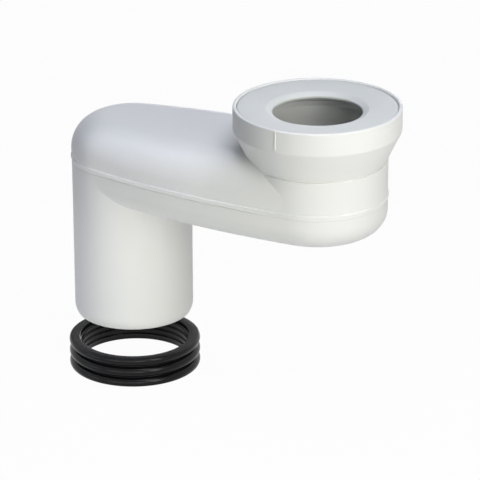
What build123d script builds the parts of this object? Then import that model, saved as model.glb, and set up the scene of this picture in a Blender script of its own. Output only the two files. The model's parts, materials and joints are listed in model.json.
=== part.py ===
"""Offset pan connector: a flat offset chamber between a floor spigot and a sealed inlet socket.

The outlet spigot stands on the Z axis and reaches its full diameter at z = 0, just above its
lead-in. The inlet socket stands on a parallel axis at x = offset. Sizes are in millimetres, and
heights named for the inlet and the chamber are measured from the weld line.
"""
import os
from math import cos, hypot, radians, sin, tan

from build123d import *

# Outlet spigot
spigot_diameter = 110.0
spigot_length = 152.0
spigot_wall = 4.0
spigot_seat_length = 96.0
spigot_draft = 0.2
lead_in_length = 9.0
lead_in_depth = 2.6
spigot_edge_round = 0.4

# Offset chamber, welded from an upper and a lower half
offset = 195.0
flank_radius = 760.0
shell_wall = 3.5
roof_height = 40.5
roof_fall = 1.9
roof_round = 31.0
floor_depth = 33.5
floor_round = 21.5
upper_half_overhang = 0.4
buried_end_inset = 0.3

# Weld bead around the joint of the two halves
bead_height = 2.4
bead_proud = 0.9
bead_round = 0.7

# Inlet neck, cone and collar
neck_diameter = 126.0
neck_height = 33.0
shoulder_width = 1.8
shoulder_round = 1.0
collar_diameter = 150.0
collar_bottom = 62.0
collar_edge_round = 4.0
rim_height = 83.0
rim_wall = 3.2
rim_round = 1.3

# Moulding line on both sides of the collar
mould_line_width = 1.2
mould_line_proud = 0.5
mould_line_length = 16.0
mould_line_below_rim = 2.0

# Soft lip seal of the inlet
seal_fit_clearance = 0.25
seal_ledge_width = 2.6
seal_ledge_height = 62.5
seal_foot_thickness = 2.2
seal_skin = 2.6
seal_edge_below_rim = 1.0
seal_edge_round = 2.2
seal_dish = 1.8
seal_bore_diameter = 80.0
seal_lip_width = 5.5
seal_lip_fall = 2.8
seal_lip_edge = 2.2
seal_lip_round = 1.5
seal_lip_edge_round = 0.4

# Ribbed rubber ring of the outlet, slipped off and held below the spigot
ring_gap = 27.0
ring_diameter = 122.4
ring_bore_diameter = 100.0
ring_lip_count = 3
ring_lip_pitch = 10.8
ring_lip_radius = 4.8
ring_lip_to_face = 2.8
ring_ridge_count = 4
ring_ridge_pitch = 5.6
ring_ridge_radius = 1.1

# Levels, radii and axes worked out from the sizes above
spigot_radius = spigot_diameter / 2
neck_radius = neck_diameter / 2
collar_radius = collar_diameter / 2
neck_bore_radius = neck_radius - shell_wall
pocket_radius = collar_radius - rim_wall
ledge_radius = pocket_radius - seal_ledge_width
spigot_end = -lead_in_length
weld_level = spigot_end + spigot_length
floor_level = weld_level - floor_depth
rim_level = weld_level + rim_height
ledge_level = weld_level + seal_ledge_height
cone_foot_radius = neck_radius - shoulder_width
cone_slope = (collar_radius - cone_foot_radius) / (collar_bottom - neck_height)
cone_wall_across = shell_wall * hypot(1, cone_slope)
cut_past = 5.0
socket_axis = Axis((offset, 0, 0), (0, 0, 1))
roof_rise = tan(radians(roof_fall)) * (offset + neck_radius)
roof_blank_height = roof_height + roof_rise + cut_past


def roof_plane(drop):
    """Plane of the falling roof, lowered by a distance measured square to it."""
    lean = radians(roof_fall)
    normal = Vector(-sin(lean), 0, cos(lean))
    over_spigot = Vector(0, 0, weld_level + roof_height)
    return Plane(origin=over_spigot - normal * drop, x_dir=(cos(lean), 0, sin(lean)), z_dir=normal)


def chamber_plan(level, nose_radius, tail_radius, inset=0.0):
    """Outline of the chamber seen from above: two round ends joined by bowed flanks."""
    nose_reach = flank_radius - nose_radius
    tail_reach = flank_radius - tail_radius
    centre_x = (nose_reach**2 - tail_reach**2 + offset**2) / (2 * offset)
    centre_y = (nose_reach**2 - centre_x**2) ** 0.5
    nose = nose_radius - inset
    tail = tail_radius - inset
    nose_end = Vector(-centre_x, -centre_y) * (nose / nose_reach)
    tail_end = Vector(offset, 0) + Vector(offset - centre_x, -centre_y) * (tail / tail_reach)
    bow = Vector(centre_x, centre_y - flank_radius + inset)
    with BuildSketch(Plane.XY.offset(level)) as plan:
        with BuildLine():
            ThreePointArc(nose_end, bow, tail_end)
            ThreePointArc(tail_end, (offset + tail, 0), (tail_end.X, -tail_end.Y))
            ThreePointArc((tail_end.X, -tail_end.Y), (bow.X, -bow.Y), (nose_end.X, -nose_end.Y))
            ThreePointArc((nose_end.X, -nose_end.Y), (-nose, 0), nose_end)
        make_face()
    return plan.sketch


def cone_bore_height(radius):
    """Height at which the inside of the cone, one wall inside its outer face, has a radius."""
    return neck_height + (radius + cone_wall_across - cone_foot_radius) / cone_slope


# Waterway: the hollow that runs through both halves, with the seal's pocket at the top
with BuildPart() as waterway:
    extrude(
        chamber_plan(floor_level + shell_wall, spigot_radius, neck_radius, shell_wall),
        amount=floor_depth + roof_blank_height,
    )
    split(bisect_by=roof_plane(shell_wall), keep=Keep.BOTTOM)
    fillet(waterway.faces().sort_by(Axis.Z)[-1].edges(), roof_round - shell_wall)
    fillet(waterway.faces().sort_by(Axis.Z)[0].edges(), floor_round - shell_wall)
    with BuildSketch(Plane.XY.offset(spigot_end - cut_past)):
        Circle(spigot_radius - spigot_wall)
    extrude(amount=spigot_length + cut_past)
    with BuildSketch(Plane.XZ):
        with BuildLine():
            Polyline(
                (offset, weld_level),
                (offset + neck_bore_radius - buried_end_inset, weld_level),
                (
                    offset + neck_bore_radius - buried_end_inset,
                    weld_level + cone_bore_height(neck_bore_radius - buried_end_inset),
                ),
                (offset + ledge_radius, weld_level + cone_bore_height(ledge_radius)),
                (offset + ledge_radius, ledge_level),
                (offset + pocket_radius, ledge_level),
                (offset + pocket_radius, rim_level + cut_past),
                (offset, rim_level + cut_past),
                close=True,
            )
        make_face()
    revolve(axis=socket_axis)

# Weld bead: the rounded lip that the upper half carries round the joint
with BuildPart() as weld_bead:
    extrude(chamber_plan(weld_level, spigot_radius, neck_radius, -bead_proud), amount=bead_height)
    fillet(weld_bead.faces().filter_by(Axis.Z).edges(), bead_round)

# Upper half: falling roof, neck, cone and collar
with BuildPart() as upper_shell:
    extrude(
        chamber_plan(
            weld_level, spigot_radius + upper_half_overhang, neck_radius - buried_end_inset
        ),
        amount=roof_blank_height,
    )
    split(bisect_by=roof_plane(0), keep=Keep.BOTTOM)
    fillet(upper_shell.faces().sort_by(Axis.Z)[-1].edges(), roof_round)
    with BuildSketch(Plane.XZ) as neck_profile:
        shoulder_corner = (offset + neck_radius, weld_level + neck_height)
        collar_corner = (offset + collar_radius, weld_level + collar_bottom)
        with BuildLine():
            Polyline(
                (offset, weld_level),
                (offset + neck_radius, weld_level),
                shoulder_corner,
                (offset + cone_foot_radius, weld_level + neck_height),
                collar_corner,
                (offset + collar_radius, rim_level),
                (offset, rim_level),
                close=True,
            )
        make_face()
        fillet(neck_profile.vertices().sort_by_distance(collar_corner)[0], collar_edge_round)
        fillet(neck_profile.vertices().sort_by_distance(shoulder_corner)[0], shoulder_round)
    revolve(axis=socket_axis)
    with BuildSketch(Plane.XY.offset(rim_level - mould_line_below_rim)):
        with Locations((offset, 0)):
            Rectangle(mould_line_width, collar_diameter + 2 * mould_line_proud)
    extrude(amount=-mould_line_length)
    add(weld_bead.part)
    add(waterway.part, mode=Mode.SUBTRACT)
    fillet(upper_shell.edges().filter_by(GeomType.CIRCLE).group_by(Axis.Z)[-1], rim_round)

# Lower half: rounded floor running into the outlet spigot
with BuildPart() as lower_shell:
    extrude(
        chamber_plan(floor_level, spigot_radius - buried_end_inset, neck_radius),
        amount=floor_depth,
    )
    fillet(lower_shell.faces().sort_by(Axis.Z)[0].edges(), floor_round)
    with BuildSketch(Plane.XZ):
        with BuildLine():
            Polyline(
                (spigot_radius - lead_in_depth, spigot_end),
                (0, spigot_end),
                (0, weld_level),
                (spigot_radius + spigot_draft, weld_level),
                (spigot_radius, spigot_seat_length),
                (spigot_radius, 0),
            )
            TangentArc(
                (spigot_radius, 0),
                (spigot_radius - lead_in_depth, spigot_end),
                tangent=(0, -1),
            )
        make_face()
    revolve(axis=Axis.Z)
    add(waterway.part, mode=Mode.SUBTRACT)
    fillet(lower_shell.edges().group_by(Axis.Z)[0], spigot_edge_round)

# Inlet seal: a foot in the collar's pocket, a dished skin and a lip that falls into the bore
with BuildPart() as pan_seal:
    foot_radius = pocket_radius - seal_fit_clearance
    foot_bore_radius = foot_radius - seal_foot_thickness
    edge_level = rim_level - seal_edge_below_rim
    lip_level = edge_level - seal_dish
    bore_radius = seal_bore_diameter / 2
    seal_corner = (offset + foot_radius, edge_level)
    lip_crease = (offset + bore_radius + seal_lip_width, lip_level)
    lip_edge_level = lip_level - seal_lip_fall
    with BuildSketch(Plane.XZ) as seal_profile:
        with BuildLine():
            Polyline(
                lip_crease,
                seal_corner,
                (offset + foot_radius, ledge_level),
                (offset + foot_bore_radius, ledge_level),
                (offset + foot_bore_radius, edge_level - seal_skin),
                (lip_crease[0], lip_level - seal_skin),
                (offset + bore_radius, lip_edge_level - seal_lip_edge),
                (offset + bore_radius, lip_edge_level),
                close=True,
            )
        make_face()
        fillet(seal_profile.vertices().group_by(Axis.X)[0], seal_lip_edge_round)
        fillet(seal_profile.vertices().sort_by_distance(lip_crease)[0], seal_lip_round)
        fillet(seal_profile.vertices().sort_by_distance(seal_corner)[0], seal_edge_round)
    revolve(axis=socket_axis)

# Outlet ring: flat faces, rounded lips outside and small ridges in the bore
with BuildPart() as spigot_ring:
    ring_radius = ring_diameter / 2
    ring_bore_radius = ring_bore_diameter / 2
    ring_height = (ring_lip_count - 1) * ring_lip_pitch + 2 * ring_lip_to_face
    ring_middle = spigot_end - ring_gap - ring_height / 2
    lip_centre_radius = ring_radius - ring_lip_radius
    ridge_centre_radius = ring_bore_radius + ring_ridge_radius
    with BuildSketch(Plane.XZ):
        with Locations((lip_centre_radius, ring_middle)):
            with GridLocations(1, ring_lip_pitch, 1, ring_lip_count):
                Circle(ring_lip_radius)
        with Locations(((ridge_centre_radius + lip_centre_radius) / 2, ring_middle)):
            Rectangle(lip_centre_radius - ridge_centre_radius, ring_height)
        with Locations(((ring_bore_radius + ring_radius) / 2, ring_middle)):
            Rectangle(ring_radius - ring_bore_radius, ring_height, mode=Mode.INTERSECT)
        with Locations((ridge_centre_radius, ring_middle)):
            with GridLocations(1, ring_ridge_pitch, 1, ring_ridge_count):
                Circle(ring_ridge_radius)
    revolve(axis=Axis.Z)

upper_shell.part.label = "upper_shell"
lower_shell.part.label = "lower_shell"
pan_seal.part.label = "pan_seal"
spigot_ring.part.label = "spigot_ring"

os.makedirs("parts", exist_ok=True)
for piece in (upper_shell, lower_shell, pan_seal, spigot_ring):
    export_step(piece.part, f"parts/{piece.part.label}.step")
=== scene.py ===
"""Looks of the offset pan connector: its finishes, its two rubber pieces, the camera and the studio.

Lengths are in metres, in the part's own frame: the outlet spigot stands on the Z axis, and the inlet
socket stands on a parallel axis further along X.
"""

import json
import logging
from collections.abc import Sequence
from dataclasses import dataclass
from enum import Enum
from itertools import pairwise
from math import asin, cos, pi, radians, sin
from typing import Any

import bpy
from mathutils import Matrix, Vector


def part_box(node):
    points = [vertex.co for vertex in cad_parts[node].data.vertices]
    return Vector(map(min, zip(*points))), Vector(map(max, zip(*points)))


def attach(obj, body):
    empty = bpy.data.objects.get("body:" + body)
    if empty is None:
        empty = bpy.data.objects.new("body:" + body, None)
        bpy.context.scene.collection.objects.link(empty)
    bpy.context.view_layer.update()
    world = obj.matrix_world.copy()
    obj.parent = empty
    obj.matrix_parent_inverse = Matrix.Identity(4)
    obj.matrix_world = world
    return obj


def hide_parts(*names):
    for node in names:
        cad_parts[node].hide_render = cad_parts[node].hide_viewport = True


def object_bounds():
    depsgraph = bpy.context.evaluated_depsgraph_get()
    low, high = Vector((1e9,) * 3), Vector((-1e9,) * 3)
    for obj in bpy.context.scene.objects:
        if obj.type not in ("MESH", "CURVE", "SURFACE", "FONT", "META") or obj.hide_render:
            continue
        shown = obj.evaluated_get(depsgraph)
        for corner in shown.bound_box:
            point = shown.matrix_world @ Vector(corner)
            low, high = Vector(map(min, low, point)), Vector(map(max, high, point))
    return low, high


Colour = tuple[float, float, float]
Point = tuple[float, float]
Span = tuple[float, float]

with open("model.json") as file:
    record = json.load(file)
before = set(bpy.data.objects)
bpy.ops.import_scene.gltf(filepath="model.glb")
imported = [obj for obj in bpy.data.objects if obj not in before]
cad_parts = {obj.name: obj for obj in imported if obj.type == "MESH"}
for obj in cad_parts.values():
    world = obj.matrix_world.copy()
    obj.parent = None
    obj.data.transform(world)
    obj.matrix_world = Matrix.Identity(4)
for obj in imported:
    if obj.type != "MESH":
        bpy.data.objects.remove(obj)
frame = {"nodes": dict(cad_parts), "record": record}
CAD_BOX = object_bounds()
MM = 0.001
MERGE_WITHIN = 0.01 * MM
NOISE_MEAN = 0.5
WHITE: Colour = (1.0, 1.0, 1.0)

# Socket numbers of the Mix node, for colours, and of the Mix Shader node
MIX_SHARE, MIX_FIRST, MIX_SECOND, MIX_COLOUR = 0, 6, 7, 2
SHADER_SHARE, SHADER_FIRST, SHADER_SECOND = 0, 1, 2

log = logging.getLogger("pan_connector")


class Slot(Enum):
    """The record's material slots for the pieces that are modelled here."""

    SEAL = "seal"
    RING = "ring"


class Operation(Enum):
    """The Math node's operations that the overloaded operators use."""

    PLUS = "ADD"
    MINUS = "SUBTRACT"
    TIMES = "MULTIPLY"
    OVER = "DIVIDE"
    POWER = "POWER"
    ABSOLUTE = "ABSOLUTE"


class Term:
    """A shader socket that takes part in Python expressions on values."""

    def __init__(self, graph: "Graph", socket: bpy.types.NodeSocket) -> None:
        """Keeps the socket and the graph that its Math nodes are added to."""
        self.graph = graph
        self.socket = socket

    def __add__(self, other: "Term | float") -> "Term":
        """self + other."""
        return self.graph.math(Operation.PLUS, self, other)

    def __radd__(self, other: float) -> "Term":
        """other + self."""
        return self.graph.math(Operation.PLUS, other, self)

    def __sub__(self, other: "Term | float") -> "Term":
        """self - other."""
        return self.graph.math(Operation.MINUS, self, other)

    def __rsub__(self, other: float) -> "Term":
        """other - self."""
        return self.graph.math(Operation.MINUS, other, self)

    def __mul__(self, other: "Term | float") -> "Term":
        """self * other."""
        return self.graph.math(Operation.TIMES, self, other)

    def __rmul__(self, other: float) -> "Term":
        """other * self."""
        return self.graph.math(Operation.TIMES, other, self)

    def __truediv__(self, other: "Term | float") -> "Term":
        """self / other."""
        return self.graph.math(Operation.OVER, self, other)

    def __rtruediv__(self, other: float) -> "Term":
        """other / self."""
        return self.graph.math(Operation.OVER, other, self)

    def __pow__(self, other: "Term | float") -> "Term":
        """self ** other."""
        return self.graph.math(Operation.POWER, self, other)

    def __abs__(self) -> "Term":
        """The size of self without its sign."""
        return self.graph.math(Operation.ABSOLUTE, self)


class Graph:
    """A node tree that is written as expressions."""

    def __init__(self, tree: bpy.types.NodeTree) -> None:
        """Empties the tree.

        Args:
            tree: The node tree of a material or a world.
        """
        self.tree = tree
        self.tree.nodes.clear()

    def node(
        self,
        kind: str,
        settings: dict[str, Any] | None = None,
        inputs: dict[str | int, Any] | None = None,
    ) -> bpy.types.Node:
        """Adds a node.

        Args:
            kind: The node's type.
            settings: The node's own properties, which are set before its sockets.
            inputs: Values or links for its input sockets, by name or number.

        Returns:
            The new node.
        """
        made = self.tree.nodes.new(kind)
        for name, value in (settings or {}).items():
            setattr(made, name, value)
        for key, value in (inputs or {}).items():
            if isinstance(value, Term):
                self.tree.links.new(value.socket, made.inputs[key])
            else:
                made.inputs[key].default_value = value
        return made

    def term(self, node: bpy.types.Node, output: str | int = 0) -> Term:
        """One output of a node, for use in an expression."""
        return Term(self, node.outputs[output])

    def math(self, operation: Operation, *terms: "Term | float") -> Term:
        """Adds one Math node.

        Args:
            operation: What the node works out.
            terms: Its one or two operands.

        Returns:
            The node's result.
        """
        settings = {"operation": operation.value}
        return self.term(self.node("ShaderNodeMath", settings, dict(enumerate(terms))))

    def place(self) -> Term:
        """The point on the piece, in the part's own frame."""
        return self.term(self.node("ShaderNodeTexCoord"), "Object")

    def facing(self) -> Term:
        """The surface's direction, in the part's own frame."""
        return self.term(self.node("ShaderNodeTexCoord"), "Normal")

    def axis(self, vector: Term, name: str) -> Term:
        """One of a vector's parts, X, Y or Z."""
        return self.term(self.node("ShaderNodeSeparateXYZ", inputs={"Vector": vector}), name)

    def moved(self, vector: Term, origin: Sequence[float]) -> Term:
        """Centres a pattern.

        Args:
            vector: The points that the pattern reads.
            origin: Where the pattern's origin goes.

        Returns:
            The points as seen from that origin.
        """
        inputs = {"Vector": vector, "Location": [-place for place in origin]}
        return self.term(self.node("ShaderNodeMapping", inputs=inputs))

    def noise(self, vector: Term, scale: float, detail: float = 2.0, rough: float = 0.5) -> Term:
        """Soft noise between 0 and 1.

        Args:
            vector: The points that it reads.
            scale: Its waves to a metre.
            detail: Its number of finer layers.
            rough: How strong the finer layers are.

        Returns:
            The noise's value.
        """
        inputs = {"Vector": vector, "Scale": scale, "Detail": detail, "Roughness": rough}
        return self.term(self.node("ShaderNodeTexNoise", inputs=inputs), "Fac")

    def step(self, value: Term, low: float, high: float) -> Term:
        """A smooth rise from 0 to 1.

        Args:
            value: What is measured.
            low: Where the rise starts.
            high: Where it ends.

        Returns:
            The rise's value.
        """
        settings = {"interpolation_type": "SMOOTHSTEP"}
        inputs = {"Value": value, "From Min": low, "From Max": high}
        return self.term(self.node("ShaderNodeMapRange", settings, inputs))

    def blend(self, share: Term, first: "Term | Colour", second: "Term | Colour") -> Term:
        """Mixes two colours.

        Args:
            share: The second colour's share.
            first: A colour or a link.
            second: A colour or a link.

        Returns:
            The mixed colour.
        """
        pair = [c if isinstance(c, Term) else (*c, 1.0) for c in (first, second)]
        inputs = {MIX_SHARE: share, MIX_FIRST: pair[0], MIX_SECOND: pair[1]}
        mix = self.node("ShaderNodeMix", {"data_type": "RGBA"}, inputs)
        return self.term(mix, MIX_COLOUR)

    def bump(self, height: Term, depth: float = 1.0, strength: float = 1.0) -> Term:
        """A bumped surface direction.

        Args:
            height: The bumps, as shares of the depth.
            depth: How deep a height of 1 is.
            strength: The share of the bump that shows.

        Returns:
            The changed direction.
        """
        inputs = {"Height": height, "Distance": depth, "Strength": strength}
        return self.term(self.node("ShaderNodeBump", inputs=inputs))

    def surface(self, shader: Term) -> None:
        """Makes a shader the tree's result."""
        self.node("ShaderNodeOutputMaterial", inputs={"Surface": shader})

    def principled(self, inputs: dict[str | int, Any]) -> None:
        """Makes a Principled shader with these inputs the tree's result."""
        self.surface(self.term(self.node("ShaderNodeBsdfPrincipled", inputs=inputs)))


def new_material(name: str) -> tuple[bpy.types.Material, Graph]:
    """Adds a material with an empty node tree.

    Args:
        name: The material's name.

    Returns:
        The material and its graph.
    """
    material = bpy.data.materials.new(name)
    material.use_nodes = True
    return material, Graph(material.node_tree)


@dataclass(frozen=True)
class MouldedPlastic:
    """Satin white polypropylene: faint clouding, a fine moulded grain and an uneven weld bead with a
    painted highlight along it.
    """

    name: str
    weld_level: float
    light: Colour = (0.86, 0.86, 0.835)
    cloudy: Colour = (0.82, 0.822, 0.8)
    # A lighter colour, a painted highlight along the weld bead.
    weld_highlight: Colour = (0.93, 0.93, 0.912)
    roughness: float = 0.45
    roughness_play: float = 0.1
    sheen_level: float = 0.35
    cloud_waves: float = 16.0
    grain_waves: float = 900.0
    grain_depth: float = 0.025 * MM
    smear_height: float = 4.4 * MM
    smear_below: float = 2.0 * MM
    smear_lean: float = 0.6 * MM
    smear_rise: Span = (-0.2, 0.0)
    smear_fall: Span = (0.8, 1.1)
    smear_waves: float = 130.0
    smear_depth: float = 0.25 * MM
    wander_waves: float = 60.0
    wander: float = 1.2 * MM
    faint_from: float = 130.0 * MM
    faint_to: float = 200.0 * MM
    faint_loss: float = 0.6

    def material(self) -> bpy.types.Material:
        """Makes the material."""
        material, graph = new_material(self.name)
        place = graph.place()
        clouds = graph.noise(place, self.cloud_waves, detail=3.0)
        grain = graph.noise(place, self.grain_waves)
        uneven = (graph.noise(place, self.wander_waves, detail=3.0) - NOISE_MEAN) * self.wander
        foot = self.weld_level - self.smear_below
        climb = (graph.axis(place, "Z") + uneven - foot) / self.smear_height
        faint = graph.step(graph.axis(place, "X"), self.faint_from, self.faint_to)
        band = graph.step(climb, *self.smear_rise) * (1.0 - graph.step(climb, *self.smear_fall))
        # The weld band: a bumpy bead in relief, and a painted highlight in its colour, both fading
        # towards +X.
        bead_and_highlight = band * (1.0 - faint * self.faint_loss)
        lumps = graph.noise(place, self.smear_waves, detail=3.0, rough=0.6) * self.smear_depth
        relief = grain * self.grain_depth + bead_and_highlight * (lumps + (1.0 - climb) * self.smear_lean)
        skin = graph.blend(clouds, self.light, self.cloudy)
        inputs = {
            # The weld band's base colour is lifted towards the lighter colour: a painted highlight
            # along the bead.
            "Base Color": graph.blend(bead_and_highlight, skin, self.weld_highlight),
            "Roughness": self.roughness + (clouds - NOISE_MEAN) * self.roughness_play,
            "Normal": graph.bump(relief),
            "Specular IOR Level": self.sheen_level,
        }
        graph.principled(inputs)
        return material


@dataclass(frozen=True)
class SoftSeal:
    """Cool white elastomer with a silky skin and faint rings from its mould."""

    name: str
    axis_x: float
    light: Colour = (0.775, 0.79, 0.755)
    cloudy: Colour = (0.725, 0.74, 0.705)
    roughness: float = 0.5
    roughness_play: float = 0.12
    sheen_level: float = 0.35
    cloud_waves: float = 22.0
    ring_waves: float = 420.0
    ring_depth: float = 0.04 * MM
    grain_waves: float = 1300.0
    grain_depth: float = 0.03 * MM
    bump_share: float = 0.6

    def material(self) -> bpy.types.Material:
        """Makes the material."""
        material, graph = new_material(self.name)
        place = graph.moved(graph.place(), (self.axis_x, 0.0, 0.0))
        across = (graph.axis(place, "X") ** 2.0 + graph.axis(place, "Y") ** 2.0) ** 0.5
        ring_place = graph.node("ShaderNodeCombineXYZ", inputs={"X": across})
        rings = graph.noise(graph.term(ring_place), self.ring_waves, detail=1.0)
        clouds = graph.noise(place, self.cloud_waves, detail=3.0)
        grain = graph.noise(place, self.grain_waves)
        relief = rings * self.ring_depth + grain * self.grain_depth
        inputs = {
            "Base Color": graph.blend(clouds, self.light, self.cloudy),
            "Roughness": self.roughness + (rings - NOISE_MEAN) * self.roughness_play,
            "Normal": graph.bump(relief, strength=self.bump_share),
            "Specular IOR Level": self.sheen_level,
        }
        graph.principled(inputs)
        return material


@dataclass(frozen=True)
class BlackRubber:
    """Black rubber, satin on its rounded lips and matte with a grey bloom on its flat faces."""

    name: str
    deep: Colour = (0.004, 0.004, 0.005)
    bloom: Colour = (0.008, 0.008, 0.01)
    lip_roughness: float = 0.22
    face_roughness: float = 0.6
    roughness_play: float = 0.1
    sheen_level: float = 0.18
    flat_from: float = 0.9
    flat_to: float = 0.985
    bloom_least: float = 0.75
    bloom_play: float = 0.5
    speck_waves: float = 500.0
    grain_waves: float = 1500.0
    grain_depth: float = 0.05 * MM
    bump_share: float = 0.5

    def material(self) -> bpy.types.Material:
        """Makes the material."""
        material, graph = new_material(self.name)
        place = graph.place()
        flat = graph.step(abs(graph.axis(graph.facing(), "Z")), self.flat_from, self.flat_to)
        specks = graph.noise(place, self.speck_waves, detail=3.0, rough=0.6)
        grain = graph.noise(place, self.grain_waves)
        dull = flat * (self.bloom_least + self.bloom_play * specks)
        roughness = self.lip_roughness + dull * (self.face_roughness - self.lip_roughness)
        inputs = {
            "Base Color": graph.blend(dull, self.deep, self.bloom),
            "Roughness": roughness + (specks - NOISE_MEAN) * self.roughness_play,
            "Normal": graph.bump(grain, self.grain_depth, self.bump_share),
            "Specular IOR Level": self.sheen_level,
        }
        graph.principled(inputs)
        return material


def mount(name: str) -> dict[str, Any]:
    """One of the record's mounts."""
    return next(entry for entry in frame["record"]["mounts"] if entry["name"] == name)


def arc(centre: Point, radius: float, start: float, end: float, pieces: int) -> list[Point]:
    """Points along a round stretch of an outline.

    Args:
        centre: The arc's centre, as radius and height.
        radius: The arc's radius.
        start: The angle that it starts at, in radians from straight outwards.
        end: The angle that it ends at.
        pieces: The number of straight pieces.

    Returns:
        The points, both ends included.
    """
    angles = [start + (end - start) * n / pieces for n in range(pieces + 1)]
    return [(centre[0] + radius * cos(a), centre[1] + radius * sin(a)) for a in angles]


def turned(name: str, outline: Sequence[Point], axis_x: float, steps: int) -> bpy.types.Object:
    """Turns a closed outline round an upright axis.

    Args:
        name: The piece's name.
        outline: Points of the section, as radius and height.
        axis_x: Where the axis stands along X.
        steps: The number of steps in a full turn.

    Returns:
        The new piece, with its place in its mesh.
    """
    first = outline[0]
    bpy.ops.object.select_all(action="DESELECT")
    bpy.ops.mesh.primitive_plane_add(size=MM, location=(axis_x + first[0], 0.0, first[1]))
    piece = bpy.context.active_object
    piece.name = name
    piece.data.name = name
    bpy.ops.object.mode_set(mode="EDIT")
    bpy.ops.mesh.select_all(action="SELECT")
    bpy.ops.mesh.merge(type="CENTER")
    for here, there in pairwise([*outline, first]):
        move = (there[0] - here[0], 0.0, there[1] - here[1])
        bpy.ops.mesh.extrude_vertices_move(TRANSFORM_OT_translate={"value": move})
    bpy.ops.mesh.select_all(action="SELECT")
    bpy.ops.mesh.remove_doubles(threshold=MERGE_WITHIN)
    bpy.ops.mesh.spin(steps=steps, angle=2 * pi, center=(axis_x, 0.0, 0.0), axis=(0.0, 0.0, 1.0))
    bpy.ops.mesh.select_all(action="SELECT")
    bpy.ops.mesh.remove_doubles(threshold=MERGE_WITHIN)
    bpy.ops.mesh.normals_make_consistent(inside=False)
    bpy.ops.object.mode_set(mode="OBJECT")
    bpy.ops.object.transform_apply(location=True, rotation=True, scale=True)
    return piece


def soften(piece: bpy.types.Object, width: float, corner: float, segments: int) -> None:
    """Rounds a piece's corners and smooths its shading.

    Args:
        piece: The piece.
        width: The width of the rounding.
        corner: The angle in degrees from which an edge is a corner.
        segments: The number of faces across the rounding.
    """
    bevel = piece.modifiers.new("corners", "BEVEL")
    bevel.width = width
    bevel.segments = segments
    bevel.limit_method = "ANGLE"
    bevel.angle_limit = radians(corner)
    bpy.ops.object.select_all(action="DESELECT")
    piece.select_set(True)
    bpy.context.view_layer.objects.active = piece
    bpy.ops.object.modifier_apply(modifier=bevel.name)
    bpy.ops.object.shade_smooth_by_angle(angle=radians(corner))


def seat(piece: bpy.types.Object, node: str, material: bpy.types.Material) -> None:
    """Dresses a new piece and lets it stand for a solid of the frame.

    Args:
        piece: The new piece.
        node: The solid that it stands for.
        material: The piece's finish.
    """
    piece.data.materials.clear()
    piece.data.materials.append(material)
    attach(piece, "root")
    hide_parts(node)
    log.info("%s: %d faces, %s", piece.name, len(piece.data.polygons), material.name)


@dataclass
class WeldedBody:
    """The two welded halves of the white body."""

    upper: str = "upper_shell"
    lower: str = "lower_shell"

    def dress(self) -> None:
        """Gives both halves their finish."""
        weld_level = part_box(self.upper)[0].z
        finish = MouldedPlastic("satin_polypropylene", weld_level).material()
        for name in (self.upper, self.lower):
            node = frame["nodes"][name]
            for slot in node.material_slots:
                slot.material = finish
            log.info("%s: %d faces, %s", name, len(node.data.polygons), finish.name)


@dataclass
class InletSeal:
    """The soft lip seal in the collar: a foot, a dished skin and a lip that falls into the hole."""

    node: str = "pan_seal"
    collar_node: str = "upper_shell"
    bore_mount: str = "inlet_seal"
    below_rim: float = 1.0 * MM
    skin: float = 2.6 * MM
    foot: float = 2.2 * MM
    dish: float = 1.8 * MM
    lip_width: float = 5.5 * MM
    lip_fall: float = 2.8 * MM
    lip_edge: float = 2.2 * MM
    outer_round: float = 2.2 * MM
    edge_round: float = 0.4 * MM
    edge_pieces: int = 3
    corner_angle: float = 20.0
    arc_pieces: int = 8
    steps: int = 160

    def outline(self) -> list[Point]:
        """The seal's section, as radius and height, from its top edge down the outside."""
        low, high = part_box(self.node)
        outer = (high.x - low.x) / 2
        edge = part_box(self.collar_node)[1].z - self.below_rim
        lip = edge - self.dish
        bore = self.bore_radius()
        crease = bore + self.lip_width
        corner = (outer - self.outer_round, edge - self.outer_round)
        return [
            *arc(corner, self.outer_round, pi / 2, 0.0, self.arc_pieces),
            (outer, low.z),
            (outer - self.foot, low.z),
            (outer - self.foot, edge - self.skin),
            (crease, lip - self.skin),
            (bore, lip - self.lip_fall - self.lip_edge),
            (bore, lip - self.lip_fall),
            (crease, lip),
        ]

    def bore_radius(self) -> float:
        """The radius of the hole, from the mount that the record states there."""
        return mount(self.bore_mount)["dims"]["r_mm"] * MM

    def build(self) -> None:
        """Models the seal and puts it in the collar."""
        low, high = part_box(self.node)
        axis_x = (low.x + high.x) / 2
        piece = turned("inlet_lip_seal", self.outline(), axis_x, self.steps)
        soften(piece, self.edge_round, self.corner_angle, self.edge_pieces)
        seat(piece, self.node, SoftSeal("cool_white_elastomer", axis_x).material())


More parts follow.
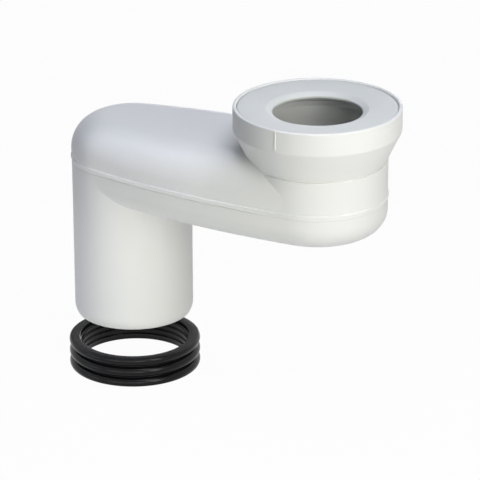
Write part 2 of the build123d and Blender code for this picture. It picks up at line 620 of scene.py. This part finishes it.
@dataclass
class OutletRing:
    """The ribbed rubber ring: flat faces, rounded lips outside and small ridges in its bore."""

    node: str = "spigot_ring"
    lips: int = 3
    lip_pitch: float = 10.8 * MM
    lip_radius: float = 4.8 * MM
    lip_to_face: float = 2.8 * MM
    ridges: int = 4
    ridge_pitch: float = 5.6 * MM
    ridge_radius: float = 1.1 * MM
    bore_radius: float = 50.0 * MM
    corner_round: float = 0.5 * MM
    corner_pieces: int = 2
    corner_angle: float = 45.0
    lip_pieces: int = 14
    ridge_pieces: int = 6
    steps: int = 160

    def outline(self) -> list[Point]:
        """The ring's section, as radius and height, from its top face down the outside."""
        low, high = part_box(self.node)
        middle = (low.z + high.z) / 2
        groove = (high.x - low.x) / 2 - self.lip_radius
        wall = self.bore_radius + self.ridge_radius
        cut = asin(self.lip_to_face / self.lip_radius)
        points = [(wall, high.z)]
        for number in range(self.lips):
            level = middle + ((self.lips - 1) / 2 - number) * self.lip_pitch
            start = cut if number == 0 else pi / 2
            end = -cut if number == self.lips - 1 else -pi / 2
            points += arc((groove, level), self.lip_radius, start, end, self.lip_pieces)
        points.append((wall, low.z))
        for number in range(self.ridges):
            level = middle + (number - (self.ridges - 1) / 2) * self.ridge_pitch
            points += arc((wall, level), self.ridge_radius, 1.5 * pi, 0.5 * pi, self.ridge_pieces)
        return points

    def build(self) -> None:
        """Models the ring and hangs it below the spigot."""
        piece = turned("ribbed_spigot_ring", self.outline(), 0.0, self.steps)
        soften(piece, self.corner_round, self.corner_angle, self.corner_pieces)
        seat(piece, self.node, BlackRubber("black_rubber").material())


def bearing(azimuth: float, elevation: float) -> Vector:
    """The direction from the part to a camera or a lamp.

    Args:
        azimuth: Degrees round the part, from straight in front of it.
        elevation: Degrees above the horizon.

    Returns:
        The direction, with a length of 1.
    """
    turn = radians(azimuth)
    rise = radians(elevation)
    return Vector((sin(turn) * cos(rise), -cos(turn) * cos(rise), sin(rise)))


@dataclass(frozen=True)
class PhotoCamera:
    """The camera that stands where the photograph was taken."""

    target: tuple[float, float, float] = (0.11506, 0.0, 0.08201)
    azimuth: float = 30.73
    elevation: float = 21.88
    roll: float = -0.21
    distance: float = 3.0
    focal_pixels: float = 3305.0
    image_pixels: float = 480.0
    sensor: float = 36.0

    def place(self) -> None:
        """Adds the camera and makes it the scene's own."""
        turn = radians(self.azimuth)
        lean = radians(self.roll)
        back = bearing(self.azimuth, self.elevation)
        level = Vector((cos(turn), sin(turn), 0.0))
        upright = back.cross(level)
        right = level * cos(lean) + upright * sin(lean)
        up = upright * cos(lean) - level * sin(lean)
        spin = Matrix((right, up, back)).transposed().to_euler()
        where = Vector(self.target) + back * self.distance
        bpy.ops.object.camera_add(location=where, rotation=spin)
        camera = bpy.context.active_object
        camera.data.sensor_width = self.sensor
        camera.data.lens = self.focal_pixels / self.image_pixels * self.sensor
        camera.data.dof.use_dof = False
        bpy.context.scene.camera = camera


@dataclass(frozen=True)
class Softbox:
    """A lamp that looks at a point of the part, square or a strip, with or without a grid.

    Its flatness is its height as a share of its width, its spread is the angle of its beam in degrees,
    and glossy says whether reflections show it.
    """

    name: str
    target: Vector
    azimuth: float
    elevation: float
    power: float
    colour: Colour
    size: float = 0.8
    distance: float = 1.8
    flatness: float = 1.0
    spread: float = 180.0
    glossy: bool = True

    def place(self) -> None:
        """Adds the lamp."""
        back = bearing(self.azimuth, self.elevation)
        aim = back.to_track_quat("Z", "Y").to_euler()
        where = self.target + back * self.distance
        bpy.ops.object.light_add(type="AREA", location=where, rotation=aim)
        lamp = bpy.context.active_object
        lamp.name = self.name
        lamp.data.shape = "RECTANGLE"
        lamp.data.size = self.size
        lamp.data.size_y = self.size * self.flatness
        lamp.data.spread = radians(self.spread)
        lamp.data.energy = self.power
        lamp.data.color = self.colour
        lamp.visible_glossy = self.glossy


@dataclass(frozen=True)
class Studio:
    """Soft lamps, a pale surround and a white floor that keeps the object's shadow."""

    near_aim: float = 30.0 * MM
    spigot_rise: float = -2.7
    edge_aim: tuple[float, float, float] = (54.0 * MM, -57.5 * MM, 172.0 * MM)
    surround: Colour = (0.86, 0.92, 1.0)
    surround_strength: float = 0.02
    floor_size: float = 30.0
    floor_colour: Colour = (0.6, 0.6, 0.6)
    floor_white: float = 0.97
    floor_gap: float = 0.5 * MM

    def lamps(self) -> list[Softbox]:
        """The lamps: far ones for the whole part, near ones for its spigot, neck and roof edge.

        Returns:
            The lamps, each with its name, target, azimuth, elevation, power and colour in that order.
        """
        middle = (CAD_BOX[0] + CAD_BOX[1]) / 2
        aim_off = Vector((0.0, 0.0, self.near_aim))
        spigot = Vector(mount("outlet_spigot")["pos_m"]) + aim_off
        neck = Vector(mount("inlet_seal")["pos_m"]) - aim_off
        edge = Vector(self.edge_aim)
        low = self.spigot_rise
        near = {"size": 0.2, "distance": 0.42}
        gridded = {**near, "spread": 60.0}
        strip = {"size": 0.13, "distance": 0.45, "flatness": 0.08, "spread": 8.0, "glossy": False}
        return [
            Softbox("key", middle, 70.0, 62.0, 8.8, (0.91, 0.93, 1.0)),
            Softbox("top", middle, 0.0, 90.0, 11.3, (0.79, 0.84, 1.0), size=1.0),
            Softbox("low_right", middle, 67.0, 8.0, 3.9, (1.0, 0.98, 0.88), size=0.4),
            Softbox("low_front", middle, 40.0, 5.0, 2.4, (0.98, 1.0, 1.0), size=0.4),
            Softbox("left", middle, -75.0, 35.0, 1.2, (0.5, 0.65, 1.0)),
            Softbox("back", middle, 200.0, 3.0, 6.5, WHITE, size=0.6),
            Softbox("spigot_right", spigot, 30.0, low, 0.22, (1.0, 1.0, 0.89), **near),
            Softbox("spigot_front", spigot, 0.0, low, 0.041, (1.0, 0.99, 0.97), **gridded),
            Softbox("spigot_left", spigot, -40.0, low, 0.03, (0.77, 0.83, 1.0), **gridded),
            Softbox("neck", neck, 60.0, 19.0, 1.78, (1.0, 1.0, 0.95), size=0.3, distance=0.62),
            Softbox("roof_edge", edge, -8.0, 42.0, 0.0026, (0.78, 0.84, 1.0), **strip),
        ]

    def seen_directly(self, graph: Graph) -> Term:
        """1 for what the camera sees, also in a reflection or through glass, and 0 for light."""
        path = graph.node("ShaderNodeLightPath")
        names = ("Is Camera Ray", "Is Glossy Ray", "Is Transmission Ray")
        camera, glossy, through = (graph.term(path, name) for name in names)
        return 1.0 - (1.0 - camera) * (1.0 - glossy) * (1.0 - through)

    def light_world(self) -> None:
        """Gives the world a soft cool light and a white face."""
        world = bpy.data.worlds.new("pale_surround")
        world.use_nodes = True
        bpy.context.scene.world = world
        graph = Graph(world.node_tree)
        seen = self.seen_directly(graph)
        colour = graph.blend(seen, self.surround, WHITE)
        strength = self.surround_strength + seen * (1.0 - self.surround_strength)
        inputs = {"Color": colour, "Strength": strength}
        background = graph.node("ShaderNodeBackground", inputs=inputs)
        graph.node("ShaderNodeOutputWorld", inputs={"Surface": graph.term(background)})

    def lay_floor(self, level: float) -> None:
        """Adds the floor.

        Args:
            level: The floor's height.
        """
        bpy.ops.object.select_all(action="DESELECT")
        bpy.ops.mesh.primitive_plane_add(size=self.floor_size, location=(0.0, 0.0, level))
        floor = bpy.context.active_object
        floor.name = "studio_floor"
        material, graph = new_material("white_floor")
        white = graph.node("ShaderNodeEmission", inputs={"Color": (*WHITE, 1.0)})
        paint = graph.node("ShaderNodeBsdfDiffuse", inputs={"Color": (*self.floor_colour, 1.0)})
        share = self.seen_directly(graph) * self.floor_white
        layers = {SHADER_FIRST: graph.term(paint), SHADER_SECOND: graph.term(white)}
        inputs = {SHADER_SHARE: share, **layers}
        graph.surface(graph.term(graph.node("ShaderNodeMixShader", inputs=inputs)))
        floor.data.materials.append(material)

    def set_up(self) -> None:
        """Adds the lamps, the surround and the floor."""
        for lamp in self.lamps():
            lamp.place()
        self.light_world()
        self.lay_floor(CAD_BOX[0].z - self.floor_gap)
        bpy.context.scene.view_settings.view_transform = "Standard"


def main() -> None:
    """Builds and dresses the part, then sets up the camera and the studio."""
    logging.basicConfig(level=logging.INFO, format="%(name)s: %(message)s")
    WeldedBody().dress()
    InletSeal().build()
    OutletRing().build()
    PhotoCamera().place()
    Studio().set_up()


if __name__ == "__main__":
    main()
